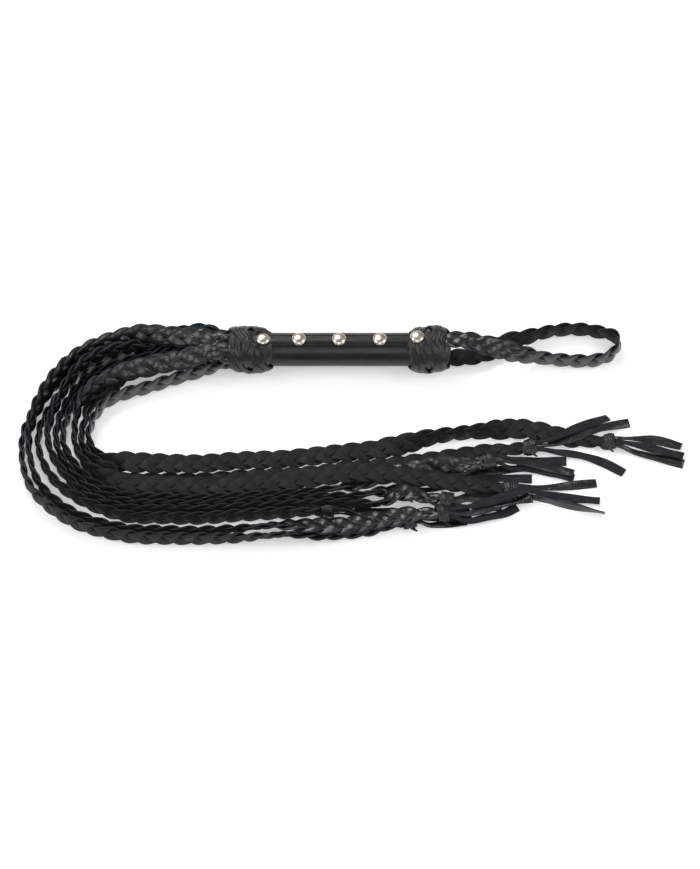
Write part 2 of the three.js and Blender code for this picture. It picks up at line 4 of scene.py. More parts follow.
import bpy
import numpy as np
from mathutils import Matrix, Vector


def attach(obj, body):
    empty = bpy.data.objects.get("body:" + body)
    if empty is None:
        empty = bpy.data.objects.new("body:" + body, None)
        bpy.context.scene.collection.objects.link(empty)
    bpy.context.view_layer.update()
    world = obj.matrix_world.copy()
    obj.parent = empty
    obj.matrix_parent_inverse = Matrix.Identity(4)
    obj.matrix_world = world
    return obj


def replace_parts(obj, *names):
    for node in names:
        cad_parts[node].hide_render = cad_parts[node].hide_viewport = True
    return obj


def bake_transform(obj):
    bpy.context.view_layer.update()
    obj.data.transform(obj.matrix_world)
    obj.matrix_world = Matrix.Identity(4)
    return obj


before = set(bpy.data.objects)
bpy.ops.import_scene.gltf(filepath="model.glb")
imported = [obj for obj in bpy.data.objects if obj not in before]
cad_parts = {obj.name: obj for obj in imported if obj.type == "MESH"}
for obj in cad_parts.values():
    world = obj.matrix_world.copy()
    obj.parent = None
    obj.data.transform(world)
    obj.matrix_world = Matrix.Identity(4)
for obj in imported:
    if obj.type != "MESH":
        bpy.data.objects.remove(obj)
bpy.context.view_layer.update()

MM = 0.001  # the sizes and routes below are in millimetres, and MM turns them into metres

# Handle, lying along X
AXIS_Z = 16.6
COVER_RADIUS = 12.2
COVER_HALF_LENGTH = 66.0
LAP_RISE = 0.9  # the upper layer of the wrapped sheet
TAIL_KNOT = (-79.5, -48.5)
LOOP_KNOT = (50.5, 79.5)
KNOT_LACE_RADIUS = 16.1  # the middle of a knot's laces
BACKING_SIDES = 96
STUD_RADIUS = 5.2
STUD_HEIGHT = 2.5
STUD_RIM = 0.35  # the height of the head's upright rim
STUD_LIFT = 0.1
SHANK_RADIUS = 1.0
SHANK_TOP_RADIUS = 1.2
SHANK_SHOWN = 1.0
DOME_SET_BACK = 0.15
LEAST_RADIUS = 0.01
STUD_SIDES = 64
DOME_STEPS = 14
LAP_SEAT = COVER_RADIUS + LAP_RISE
STUDS = [  # x and the radius that the head sits at
    (-55, LAP_SEAT), (-29, LAP_SEAT), (0, LAP_SEAT), (29.5, LAP_SEAT), (56.5, KNOT_LACE_RADIUS),
]

# Braids
TABLE_GAP = 0.15
REST_GAP = 0.03  # the lowest that any vertex goes
BRAID = (15.6, 4.9)  # width and thickness
LACE_WIDTH = 8.2
LACE_THICKNESS = 1.95
LACE_RISE = 1.3  # lets two crossing laces touch without passing through each other
LACE_PUFF = 0.15  # how much thicker a lace is where it passes over or under
BRAID_PERIOD = 37.8
BRAID_STEP = 1.5

# Roots and ties; a share is the braid's width there over its full width
ROOT_X = -74
ROOT_STRAIGHT = 8
ROOT_RADIUS = 12
ROOT_SHARE = 0.6
ROOT_HELD = 4
ROOT_TAPER = 32
TIED_SHARE = 0.66
TIE_TAPER = 30
TIE_LENGTH = 11
LOOP_ROOT_SHARE = 0.8
LOOP_ROOT_HELD = 2
LOOP_ROOT_TAPER = 12

# Fringe strips
STRIP = (7.0, 1.3)  # width and thickness
STRIP_SPACING = 3.06
STRIP_START = 0.3
STRIP_STEP = 2.0
STRIP_HELD_SHARE = 0.5
STRIP_OPEN = 34  # where along a strip it has its full width
STRIP_CURL = 0.25
STRIP_CURL_LENGTH = 7
STRIP_CLEARANCE = 0.5

# The tails turn back in one bend about BEND_CENTRE, where degrees run from +Y round by -X to -Y.
BEND_CENTRE = (-150, -72)

# Every route point ends in lift and roll. Lift is the height of the strap's lower edge over TABLE_GAP,
# and roll is the angle in degrees from lying flat, with 90 on edge. Points off the bend are
# [x, y, lift, roll] and points in it are [degrees, radius, lift, roll]. root is where round the core the
# tail is bound in, in degrees from +Y towards +Z.
TAILS = [
  {
    "root": 355, "root_roll": 95,
    "leaving": [[-95.5, 20.5, 3.6, 90], [-114, 21, 0, 90], [-131, 17.5, 0, 90]],
    "bend": [
      [90, 82.5, 0, 90], [120, 75, 0, 90], [150, 72.5, 0, 90], [180, 77, 0, 90],
      [210, 80.5, 0, 90], [240, 79.5, 0, 90], [270, 81.5, 0, 90],
    ],
    "trailing": [
      [-125, -155, 0, 90], [-100, -155.5, 0, 92], [-70, -155, 0, 100], [-40, -152, 0, 125],
      [-15, -148.5, 0, 165], [8, -145, 0, 178], [30, -141, 0, 180], [50, -138, 2.2, 180],
    ],
    "strips": [
      [[64, -133.5, 1.3, 0], [78, -131.8, 0.3, 0], [93, -127.5, 0.2, 0]],
      [[64, -137, 3, 0], [78, -135, 2.3, 0], [94, -132, 2.2, 0]],
      [[64, -140.5, 1, 0], [78, -139, 0.3, 0], [91, -137.5, 0.2, 0]],
    ],
  },
  {
    "root": 75, "root_roll": 195,
    "leaving": [[-96, 4, 21.5, 165], [-114, 6, 17, 145], [-127, 8, 15.5, 138], [-140, 9.5, 15, 128]],
    "bend": [
      [90, 80, 15, 124], [120, 72.5, 15.3, 118], [150, 68.5, 14.8, 114], [180, 72, 8, 98],
      [210, 74, 0.9, 90], [240, 73.5, 0.2, 90], [270, 76, 0, 90],
    ],
    "trailing": [
      [-125, -149.5, 0, 90], [-100, -150, 0, 92], [-70, -148, 1, 105], [-40, -146, 4, 140],
      [-15, -146, 5.6, 168], [8, -144.5, 5, 178], [30, -140, 6.8, 180], [44, -138.5, 8.2, 180],
      [58, -137, 8.7, 180], [74, -135, 6.5, 180],
    ],
    "strips": [
      [[90, -129, 6.5, 0], [107, -124, 6, 0], [124, -119, 8.8, 0], [137, -113, 7, 0]],
      [[90, -134, 5.5, 0], [107, -128, 4, 0], [124, -123, 5, 0], [138, -121, 6, 0]],
      [[90, -139, 3.5, 0], [104, -135, 2, 0], [118, -130.5, 0.6, 0], [127, -125, 0.4, 0]],
    ],
  },
  {
    "root": 35, "root_roll": 55,
    "leaving": [[-96, 14.7, 10.4, 85], [-114, 16, 1, 90], [-131, 12.5, 0, 90]],
    "bend": [
      [90, 78, 0, 90], [120, 69.5, 0, 90], [150, 63.5, 0, 90], [180, 66, 0, 90],
      [210, 63.5, 0, 90], [240, 61, 0, 90], [270, 65, 0, 90],
    ],
    "trailing": [
      [-125, -138, 0, 90], [-100, -138.5, 0, 90], [-70, -136, 0, 90], [-40, -134, 0, 90],
      [-8, -133, 0, 90],
    ],
    "strips": [
      [[14, -132.5, 5.6, 0], [28, -132, 3.9, 0], [40, -131, 3.7, 0]],
      [[14, -132.5, 2.9, 0], [28, -131.3, 2.3, 0], [40, -130.8, 2, 0]],
      [[14, -132.5, 0.3, 0], [28, -131.3, 0.3, 0], [40, -130.8, 0.2, 0]],
    ],
  },
  {
    "root": 315, "root_roll": 135,
    "leaving": [[-96, 10, 2, 105], [-114, 11, 0.5, 92], [-127, 8, 0, 90], [-140, 1.8, 2, 91]],
    "bend": [
      [90, 72, 11, 94], [120, 65.5, 15.3, 97], [150, 59, 10, 94], [180, 59, 1.2, 90],
      [210, 54.5, 0, 90], [240, 55.5, 0, 90], [270, 59.5, 0, 90],
    ],
    "trailing": [
      [-125, -132, 0, 90], [-100, -132.5, 0, 90], [-70, -130.5, 0, 90], [-40, -128.5, 0, 90],
      [-8, -126.5, 0, 90], [8, -127, 0.2, 92], [22, -127.5, 0.6, 100], [32, -126, 2, 130],
      [42, -120.8, 8.4, 168], [52, -120.4, 9.4, 175], [63, -121, 4, 178], [77, -122.2, 2.6, 180],
    ],
    "strips": [
      [[91, -116, 1.7, 0], [104, -115, 0.5, 0], [115, -115, 0.3, 0]],
      [[91, -120.5, 3.2, 0], [104, -121, 2.4, 0], [116, -121, 2.3, 0]],
      [[91, -125.5, 1.7, 0], [104, -125, 0.4, 0], [116, -125, 0.3, 0]],
    ],
  },
  {
    "root": 275, "root_roll": -5,
    "leaving": [[-96, 2, 0.5, 50], [-114, 6, 0, 88], [-127, 3.5, 0, 90], [-140, -2.5, 0, 90]],
    "bend": [
      [90, 67.5, 0, 90], [120, 61.5, 0, 90], [150, 55, 0, 90], [180, 53, 0, 90],
      [210, 49.5, 0, 90], [240, 50.5, 0, 90], [270, 54.5, 0, 90],
    ],
    "trailing": [
      [-125, -127.5, 0, 90], [-100, -128, 0, 90], [-70, -126, 0, 90], [-40, -124, 0, 90],
      [-8, -121.5, 0, 92], [12, -121, 0, 96], [23, -117, 0, 135], [34, -113.5, 0.6, 176],
      [48, -113, 2.2, 180],
    ],
    "strips": [
      [[66, -104, 0.3, 0], [90, -98, 0.3, 0], [116, -94, 0.3, 0], [135, -92, 0.3, 0]],
      [[66, -110.5, 0.3, 0], [90, -104.5, 0.3, 0], [116, -101, 0.3, 0], [138, -101.5, 0.3, 0]],
      [[61, -116.5, 1, 0], [69, -117, 0.4, 0]],
    ],
  },
  {
    "root": 235, "root_roll": 35,
    "leaving": [[-96, -4.5, 0.8, 62], [-114, 0.5, 0, 88], [-127, -1.5, 0, 90], [-140, -7.5, 0, 90]],
    "bend": [
      [90, 62.5, 0, 90], [120, 57, 0, 90], [150, 50, 0, 90], [180, 48, 0, 90],
      [210, 44.5, 0, 90], [240, 45.5, 0, 90], [270, 49.5, 0, 90],
    ],
    "trailing": [
      [-125, -122.5, 0, 90], [-100, -123.5, 0, 90], [-70, -121.5, 0, 90], [-40, -119.5, 0, 92],
      [-15, -116.5, 0, 96], [-2, -113.5, 0, 122], [10, -109, 0, 160], [22, -104.5, 4.3, 178],
      [34, -101, 4, 180], [46, -98.5, 3.8, 180], [58, -96.8, 1.2, 202], [70, -96, 1, 236],
      [82, -95, 2, 222], [93, -93, 3.8, 190], [107, -90.5, 5.3, 182],
    ],
    "strips": [
      [[122, -87.5, 5, 0], [138, -86.8, 1.8, 0], [163, -86.5, 0.3, 0]],
      [[122, -91, 7.2, 0], [139, -91, 4.4, 0], [154, -94, 2.2, 0], [168, -97.5, 2.2, 0]],
      [[122, -94.5, 4.6, 0], [138, -93.5, 2.3, 0], [153, -97, 0.3, 0], [168, -101, 0.3, 0]],
    ],
  },
  {
    "root": 115, "root_roll": 155,
    "leaving": [
      [-96, -10, 22, 150], [-114, -13.5, 16, 143], [-127, -15.5, 15, 140], [-140, -17.5, 12, 136],
    ],
    "bend": [
      [90, 52, 12, 132], [105, 49, 9.5, 124], [120, 47.5, 9.5, 115], [135, 46, 9.5, 106],
      [150, 43.5, 7.5, 97], [165, 41, 1.5, 92], [180, 40, 0, 90], [210, 37.5, 0, 88],
      [225, 37, 0, 82], [240, 37, 0.7, 62], [255, 37.5, 2.8, 35], [270, 38.5, 5, 15],
    ],
    "trailing": [
      [-125, -111.5, 6, 4], [-100, -112.5, 6, 0], [-70, -111, 6, 0], [-40, -108.5, 6, 0],
      [-15, -106, 8.2, 0], [8, -103.2, 9, 0], [26, -103, 8.8, 0], [44, -104.5, 8.6, 0],
      [57, -106, 8.4, 0], [70, -107, 6.4, 0], [84, -108.5, 4.4, 0], [102, -110, 2.8, 0],
      [123, -112, 2.2, 0],
    ],
    "strips": [
      [[142, -109.5, 1.5, 0], [158, -108, 0.4, 0], [184, -105, 0.3, 0]],
      [[142, -114.5, 2.5, 0], [158, -117, 0.5, 0], [186, -120, 0.3, 0]],
      [[139, -118.5, 1.2, 30], [151, -122, 0.3, 75], [189, -132, 0.3, 95]],
    ],
  },
  {
    "root": 155, "root_roll": 115,
    "leaving": [[-96, -9.5, 10.5, 100], [-114, -6.5, 1.5, 92], [-127, -8.5, 0, 90], [-140, -13, 0, 85]],
    "bend": [
      [90, 55.5, 0, 72], [105, 49.5, 0, 14], [120, 46.5, 0, 5], [135, 41.5, 0, 40],
      [150, 37, 0, 82], [180, 35, 0, 90], [210, 32, 0, 85], [225, 31, 0, 75],
      [240, 31, 0, 42], [255, 34, 0, 5], [270, 33, 0, 0],
    ],
    "trailing": [
      [-125, -105, 0, 0], [-100, -105, 0, 0], [-70, -102.5, 0, 0], [-40, -100.5, 0, 0],
      [-15, -98.5, 0, 0], [8, -94.5, 0, 0], [26, -93, 0, 0], [44, -90.5, 0, 0],
      [66, -87, 0, 0], [87, -83.5, 0, 0], [109, -80, 0.5, 0], [137, -76.5, 2.2, 0],
    ],
    "strips": [
      [[153, -71.5, 7, 0], [166, -65, 7.5, 0], [180, -57, 4.5, 0], [194, -49, 0.3, 0]],
      [[154, -74.5, 4.8, 0], [171, -68, 5, 0], [188, -60, 3.5, 0], [209, -53.5, 0.3, 0]],
      [[156, -80, 2.8, 0], [174, -82, 0.8, 0], [189, -87.5, 0.5, 0], [204, -96.5, 0.3, 0]],
    ],
  },
  {
    "root": 195, "root_roll": 75,
    "leaving": [[-96, -15, 3.4, 85], [-114, -18.5, 0.5, 90], [-127, -23, 0, 90], [-140, -28, 0, 90]],
    "bend": [
      [90, 41, 0, 90], [120, 36.5, 0, 90], [150, 31.5, 0, 90], [180, 29.5, 0, 90],
      [210, 27, 0, 84], [225, 25, 0, 75], [240, 23, 0.5, 60], [255, 20.5, 2.5, 40], [270, 20.5, 4.2, 22],
    ],
    "trailing": [
      [-125, -92.5, 4.2, 8], [-100, -92, 4.2, 0], [-70, -88, 2, 0], [-40, -85.5, 0, 0],
      [-15, -82.5, 0, 0], [8, -79.5, 0, 0], [26, -78, 0, 5], [46, -75.5, 0, 38],
      [66, -70.5, 0, 74], [84, -67, 0, 86], [102, -65, 0, 76], [120, -62.5, 0, 36],
      [137, -60.5, 0, 5], [159, -66, 0, 0], [177, -70, 0, 0], [194, -72, 2.4, 0],
    ],
    "strips": [
      [[212, -67.5, 1.3, 0], [228, -68.5, 0.4, 0], [246, -74, 0.3, 0]],
      [[212, -74, 3.4, 0], [229, -78, 2.4, 0], [247, -83.5, 2.2, 0]],
      [[212, -79, 1.3, 0], [229, -83.5, 0.4, 0], [247, -89, 0.3, 0]],
    ],
  },
]

# The wrist loop leaves the top of the knot's mouth, stands on edge and comes back in at the bottom.
WRIST_LOOP = [
  [76.5, 0, 26.3, 0], [82, 0.5, 26, 0], [90, 1, 25, 0], [102, 0, 20, 10], [116, -1, 12.5, 35],
  [130, -1.5, 5, 65], [148, -2, 0.3, 90], [168, -4, 0, 90], [184, -4, 0, 90], [194, -1, 0, 90],
  [201, 5, 0, 90], [203, 12, 0, 90], [200, 18, 0, 90], [191, 21, 0, 90], [178, 23.5, 0, 90],
  [164, 23.5, 0, 90], [150, 21, 0, 90], [138, 17, 0, 100], [127, 13, 0.6, 120],
  [116, 9, 1.2, 150], [105, 4, 2.5, 172], [93, 1, 3, 180], [82, 0, 3, 180], [76.5, 0, 3, 180],
]

UP = np.array([0.0, 0.0, 1.0])
GRAIN, FLESH, EDGE = 0, 1, 2  # the sides of a lace, which pick its material


# ---- camera: a long lens, high in front ----
CAMERA_ELEVATION = math.radians(57)
CAMERA_DISTANCE = 3.2
CAMERA_REACH = 20
SENSOR_WIDTH = 36
VIEW_HEIGHT = 0.6257
VIEW_CENTRE = np.array([0.0079, -0.0627, 0.0])


def add_camera():
    data = bpy.data.cameras.new("camera")
    data.sensor_width = SENSOR_WIDTH
    data.lens = SENSOR_WIDTH * CAMERA_DISTANCE / VIEW_HEIGHT
    data.clip_end = CAMERA_REACH
    camera = bpy.data.objects.new("camera", data)
    back = np.array([0, -math.cos(CAMERA_ELEVATION), math.sin(CAMERA_ELEVATION)])
    camera.location = VIEW_CENTRE + back * CAMERA_DISTANCE
    camera.rotation_euler = (math.pi / 2 - CAMERA_ELEVATION, 0, 0)
    bpy.context.scene.collection.objects.link(camera)
    bpy.context.scene.camera = camera


# ---- routes ----
CURVE_STEPS = 24  # along each span between two route points
LEAST_CHORD = 1e-6  # keeps two equal route points from dividing by nothing
LEAST_STEPS = 6


def unit(vectors):
    return vectors / np.linalg.norm(vectors, axis=-1, keepdims=True)


def smoothstep(value, low, high):
    t = np.clip((value - low) / (high - low), 0, 1)
    return t * t * (3 - 2 * t)


def run_along(line):
    """The distance from the start of a line to each of its points."""
    return np.concatenate([[0], np.cumsum(np.linalg.norm(np.diff(line, axis=0), axis=1))])


def rest_height(roll, size):
    width, thickness = size
    return TABLE_GAP + (width * np.abs(np.sin(roll)) + thickness * np.abs(np.cos(roll))) / 2


def centripetal(points):
    """Places along a centripetal Catmull-Rom curve through points, and each one's place in the list."""
    points = np.asarray(points, float)
    before = 2 * points[0] - points[1]
    after = 2 * points[-1] - points[-2]
    padded = np.vstack([before, points, after])
    places, counts = [], []
    for i in range(len(points) - 1):
        p0, p1, p2, p3 = padded[i : i + 4]
        chords = ((p0, p1), (p1, p2), (p2, p3))
        d0, d1, d2 = (math.sqrt(max(np.linalg.norm(b - a), LEAST_CHORD)) for a, b in chords)
        m1 = ((p1 - p0) / d0 - (p2 - p0) / (d0 + d1) + (p2 - p1) / d1) * d1
        m2 = ((p2 - p1) / d1 - (p3 - p1) / (d1 + d2) + (p3 - p2) / d2) * d1
        last = i == len(points) - 2
        t = np.linspace(0, 1, CURVE_STEPS + 1)[: None if last else -1, None]
        places.append(
            p1 * (2 * t**3 - 3 * t**2 + 1) + m1 * (t**3 - 2 * t**2 + t)
            + p2 * (3 * t**2 - 2 * t**3) + m2 * (t**3 - t**2)
        )
        counts.append(i + t[:, 0])
    return np.vstack(places), np.concatenate(counts)


class Route:
    """A strap's middle line at even steps, in millimetres, with its across and through directions."""

    def __init__(self, points, size, step):
        rolls = np.radians([p[3] for p in points])
        line, place = centripetal([p[:3] for p in points])
        roll = np.interp(place, range(len(rolls)), rolls)
        line[:, 2] += rest_height(roll, size)
        run = run_along(line)
        self.length = run[-1]
        count = max(LEAST_STEPS, round(self.length / step)) + 1
        self.at = np.linspace(0, self.length, count)
        self.line = np.stack([np.interp(self.at, run, line[:, k]) for k in range(3)], axis=1)
        roll = np.interp(self.at, run, roll)[:, None]
        self.along = unit(np.gradient(self.line, axis=0))
        inner = unit(np.cross(UP, self.along))
        lift = np.cross(self.along, inner)
        self.across = np.cos(roll) * inner + np.sin(roll) * lift
        self.through = np.cross(self.along, self.across)


def point_at(place, roll, size):
    """A route point from a place in space, for a strap of this size."""
    x, y, z = place
    return [x, y, z - rest_height(math.radians(roll), size), roll]


def bend_point(point):
    degrees, radius, lift, roll = point
    angle = math.radians(degrees)
    x = BEND_CENTRE[0] + radius * math.cos(angle)
    y = BEND_CENTRE[1] + radius * math.sin(angle)
    return [x, y, lift, roll]


def tail_route(tail):
    angle = math.radians(tail["root"])
    bound = np.array([ROOT_X, ROOT_RADIUS * math.cos(angle), AXIS_Z + ROOT_RADIUS * math.sin(angle)])
    start = [point_at(bound - [back, 0, 0], tail["root_roll"], BRAID) for back in (0, ROOT_STRAIGHT)]
    points = start + tail["leaving"] + [bend_point(p) for p in tail["bend"]] + tail["trailing"]
    return Route(points, BRAID, BRAID_STEP)


# ---- meshes ----
# A section goes once round a lace, in shares of its half width and half thickness. Each of its sides is
# the one between a point and the next.
LACE_SECTION = [
    (-1, -0.35), (-0.75, -0.75), (0, -1), (0.75, -0.75), (1, -0.35),
    (1, 0.1), (0.78, 0.6), (0.35, 0.97), (-0.35, 0.97), (-0.78, 0.6), (-1, 0.1),
]
LACE_SIDES = [FLESH, FLESH, FLESH, FLESH, EDGE, EDGE, GRAIN, GRAIN, GRAIN, EDGE, EDGE]
# A knot's lace is creased along its length, where it was pulled tight.
CREASED_SECTION = [
    (-1, -0.6), (0, -0.8), (1, -0.6), (1, 0.05), (0.75, 0.7), (0.4, 0.95),
    (0.18, 0.45), (0.0, 0.9), (-0.4, 1), (-0.6, 0.6), (-0.8, 0.65), (-1, 0.05),
]
CREASED_SIDES = [FLESH, FLESH, EDGE, EDGE, GRAIN, GRAIN, GRAIN, GRAIN, GRAIN, GRAIN, EDGE, EDGE]


class Shape:
    """Collects rings and faces, then becomes one object."""

    def __init__(self):
        self.vertices, self.faces, self.sides, self.uv = [], [], [], []

    def add_face(self, corners, side):
        self.faces.append(tuple(corners))
        self.sides.append(side)

    def sweep(self, line, wide, thick, closed=False, section=LACE_SECTION, sides=LACE_SIDES):
        """Sweeps a section along line; wide and thick are half-size vectors at each place."""
        start, n = len(self.vertices), len(section)
        for p, w, t, u in zip(line, wide, thick, run_along(line)):
            self.vertices.extend(p + w * a + t * b for a, b in section)
            self.uv.extend((u + start, a * np.linalg.norm(w)) for a, _ in section)
        rings = len(line)
        for r in range(rings if closed else rings - 1):
            a, b = start + r * n, start + ((r + 1) % rings) * n
            for k in range(n):
                j = (k + 1) % n
                self.add_face((a + k, a + j, b + j, b + k), sides[k])
        if not closed:
            self.add_face(reversed(range(start, start + n)), EDGE)
            self.add_face(range(start + (rings - 1) * n, start + rings * n), EDGE)

    def lathe(self, profile, count, place):
        """Turns [along, radius] points about an axis; place puts each turned point in space."""
        start, n = len(self.vertices), len(profile)
        for k in range(count):
            angle = 2 * math.pi * k / count
            for along, radius in profile:
                cosine, sine = radius * math.cos(angle), radius * math.sin(angle)
                self.vertices.append(np.array(place(along, cosine, sine)))
                self.uv.append((along, radius * angle))
        for k in range(count):
            a, b = start + k * n, start + ((k + 1) % count) * n
            for i in range(n - 1):
                self.add_face((a + i, b + i, b + i + 1, a + i + 1), GRAIN)

    def build(self, name, materials, body="handle"):
        mesh = bpy.data.meshes.new(name)
        places = np.array(self.vertices)
        places[:, 2] = np.maximum(places[:, 2], REST_GAP)
        mesh.from_pydata((places * MM).tolist(), [], self.faces)
        layer = mesh.uv_layers.new(name="lace")
        corners = np.array(self.uv)[[loop.vertex_index for loop in mesh.loops]]
        layer.data.foreach_set("uv", (corners * MM).ravel())
        for material in materials:
            mesh.materials.append(material)
        mesh.polygons.foreach_set("material_index", [min(s, len(materials) - 1) for s in self.sides])
        mesh.polygons.foreach_set("use_smooth", [True] * len(mesh.polygons))
        mesh.validate()
        mesh.update()
        piece = bpy.data.objects.new(name, mesh)
        bpy.context.scene.collection.objects.link(piece)
        if body:
            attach(piece, body)
        return piece


def add_braid(shape, route, share, grain_side):
    """Three flat laces, each over one neighbour and under the other."""
    swing = (BRAID[0] - LACE_WIDTH) / 2
    for strand in range(3):
        phase = 2 * math.pi * (route.at / BRAID_PERIOD + strand / 3)
        side = (swing * share * np.sin(phase))[:, None]
        over = (LACE_RISE * np.sin(2 * phase))[:, None]
        line = route.line + side * route.across + over * route.through
        line[:, 2] = np.maximum(line[:, 2], TABLE_GAP + LACE_THICKNESS / 2)
        along = unit(np.gradient(line, axis=0))
        normal = unit(route.through - np.sum(route.through * along, axis=1, keepdims=True) * along)
        wide = np.cross(normal, along) * (LACE_WIDTH / 2 * share)[:, None]
        puff = 1 + LACE_PUFF * np.sin(2 * phase)[:, None] ** 2
        shape.sweep(line, wide * grain_side, normal * grain_side * LACE_THICKNESS / 2 * puff)


# ---- materials ----
def set_inputs(node, values):
    for socket, value in values.items():
        node.inputs[socket].default_value = value


class Finish:
    """A material whose colour, gloss and bump come from procedural textures."""

    def __init__(self, name, constants):
        self.material = bpy.data.materials.new(name)
        self.material.use_nodes = True
        self.nodes = self.material.node_tree.nodes
        self.links = self.material.node_tree.links
        self.shader = self.nodes["Principled BSDF"]
        self.normal = None
        set_inputs(self.shader, constants)

    def over(self, vector, kind, values):
        """A node of this kind over vector."""
        node = self.nodes.new(kind)
        set_inputs(node, values)
        self.links.new(vector, node.inputs["Vector"])
        return node

    def colour(self, source, dark, light, span=(0, 1)):
        ramp = self.nodes.new("ShaderNodeValToRGB")
        for element, position, colour in zip(ramp.color_ramp.elements, span, (dark, light)):
            element.position = position
            element.color = (*colour, 1)
        self.links.new(source, ramp.inputs["Fac"])
        self.links.new(ramp.outputs["Color"], self.shader.inputs["Base Color"])

    def gloss(self, source, rough, span=(0, 1)):
        spread = self.nodes.new("ShaderNodeMapRange")
        set_inputs(spread, {"From Min": span[0], "From Max": span[1]})
        set_inputs(spread, {"To Min": rough[0], "To Max": rough[1]})
        self.links.new(source, spread.inputs["Value"])
        self.links.new(spread.outputs["Result"], self.shader.inputs["Roughness"])

    def bump(self, height, strength, depth):
        """Bumps the surface, on top of any bump already there."""
        node = self.nodes.new("ShaderNodeBump")
        set_inputs(node, {"Strength": strength, "Distance": depth})
        self.links.new(height, node.inputs["Height"])
        if self.normal:
            self.links.new(self.normal, node.inputs["Normal"])
        self.normal = node.outputs["Normal"]
        self.links.new(self.normal, self.shader.inputs["Normal"])


# Scales are in waves per metre and depths in metres.
CREASE = {"Scale": 430, "Detail": 4, "Roughness": 0.5, "Distortion": 0.5}
CREASE_STRETCH = (0.35, 1, 1)
CREASE_DEPTH = 0.0011
WEAR = {"Scale": 90, "Detail": 4}
TARNISH = {"Scale": 260, "Detail": 5}
BOLD_GRAIN = 1500
COVER_GRAIN = 1900
FINE_GRAIN = 2600
GRAIN_DEPTH = 0.0002
BANDS_DISTORTION = 1.5
# The shares of a texture's range over which colour and gloss change; over the crease span the colour runs
# from painted shade down in the creases to lighter on their ridges
CREASE_SHADE_SPAN = (0.35, 0.72)
WEAR_SPAN = (0.3, 0.7)


def leather(name, dark, light, rough, bump, specular, grain_scale):
    """Leather with fine grain and creases along each lace; colour and gloss vary with them, and the
    colour is painted shade that darkens down in each crease.
    """
    finish = Finish(name, {"Specular IOR Level": specular})
    place = finish.nodes.new("ShaderNodeTexCoord")
    stretch = finish.over(place.outputs["UV"], "ShaderNodeMapping", {"Scale": CREASE_STRETCH})
    crease = finish.over(stretch.outputs["Vector"], "ShaderNodeTexNoise", CREASE)
    grain = finish.over(place.outputs["Object"], "ShaderNodeTexVoronoi", {"Scale": grain_scale})
    wear = finish.over(place.outputs["Object"], "ShaderNodeTexNoise", WEAR)
    # painted shade: the colour darkens where the crease noise is low, down in the creases, and lightens
    # on their ridges
    finish.colour(crease.outputs["Fac"], dark, light, CREASE_SHADE_SPAN)
    finish.gloss(wear.outputs["Fac"], rough, WEAR_SPAN)
    finish.bump(grain.outputs["Distance"], bump / 2, GRAIN_DEPTH)
    finish.bump(crease.outputs["Fac"], bump, CREASE_DEPTH)
    return finish.material


def nickel():
    """Polished warm nickel with a little tarnish."""
    finish = Finish("nickel", {"Metallic": 1})
    place = finish.nodes.new("ShaderNodeTexCoord")
    spots = finish.over(place.outputs["Object"], "ShaderNodeTexNoise", TARNISH)
    finish.colour(spots.outputs["Fac"], (0.60, 0.53, 0.45), (0.86, 0.78, 0.69))
    finish.gloss(spots.outputs["Fac"], (0.2, 0.38))
    return finish.material


def banded(name, dark, light, scale, rough):
    """Wood grain or wound thread, as bands of colour with a bump."""
    finish = Finish(name, {"Roughness": rough})
    place = finish.nodes.new("ShaderNodeTexCoord")
    pattern = {"Scale": scale, "Distortion": BANDS_DISTORTION}
    bands = finish.over(place.outputs["Object"], "ShaderNodeTexWave", pattern)
    finish.colour(bands.outputs["Fac"], dark, light)
    finish.bump(bands.outputs["Fac"], 1, GRAIN_DEPTH)
    return finish.material


GRAIN_LEATHER = leather(
    "grain_leather", dark=(0.0025, 0.0025, 0.0026), light=(0.009, 0.0087, 0.0083),
    rough=(0.2, 0.36), bump=0.42, specular=0.75, grain_scale=BOLD_GRAIN,
)
FLESH_LEATHER = leather(
    "flesh_leather", dark=(0.005, 0.0045, 0.0042), light=(0.013, 0.0115, 0.0105),
    rough=(0.55, 0.8), bump=0.7, specular=0.35, grain_scale=FINE_GRAIN,
)
CUT_EDGE = leather(
    "cut_edge", dark=(0.006, 0.0085, 0.011), light=(0.034, 0.045, 0.056),
    rough=(0.55, 0.8), bump=0.5, specular=0.35, grain_scale=FINE_GRAIN,
)
COVER_LEATHER = leather(
    "cover_leather", dark=(0.0025, 0.0025, 0.0025), light=(0.0055, 0.0053, 0.005),
    rough=(0.3, 0.44), bump=0.08, specular=0.4, grain_scale=COVER_GRAIN,
)
KNOT_LEATHER = leather(
    "knot_leather", dark=(0.003, 0.003, 0.003), light=(0.013, 0.0127, 0.0123),
    rough=(0.26, 0.46), bump=0.7, specular=0.55, grain_scale=BOLD_GRAIN,
)
STRIP_FLESH = leather(
    "strip_flesh", dark=(0.007, 0.0085, 0.0105), light=(0.019, 0.0225, 0.027),
    rough=(0.7, 0.9), bump=0.5, specular=0.3, grain_scale=FINE_GRAIN,
)
NICKEL = nickel()
WOOD = banded("wood", (0.30, 0.17, 0.07), (0.50, 0.32, 0.15), scale=60, rough=0.6)
THREAD = banded("thread", (0.015, 0.012, 0.010), (0.06, 0.05, 0.04), scale=600, rough=0.8)

# In the order of GRAIN, FLESH and EDGE
BRAID_SIDES = [GRAIN_LEATHER, FLESH_LEATHER, CUT_EDGE]
KNOT_SIDES = [KNOT_LEATHER, FLESH_LEATHER, CUT_EDGE]
COVER_SIDES = [COVER_LEATHER, FLESH_LEATHER, CUT_EDGE]
STRIP_SIDES = [GRAIN_LEATHER, STRIP_FLESH, CUT_EDGE]


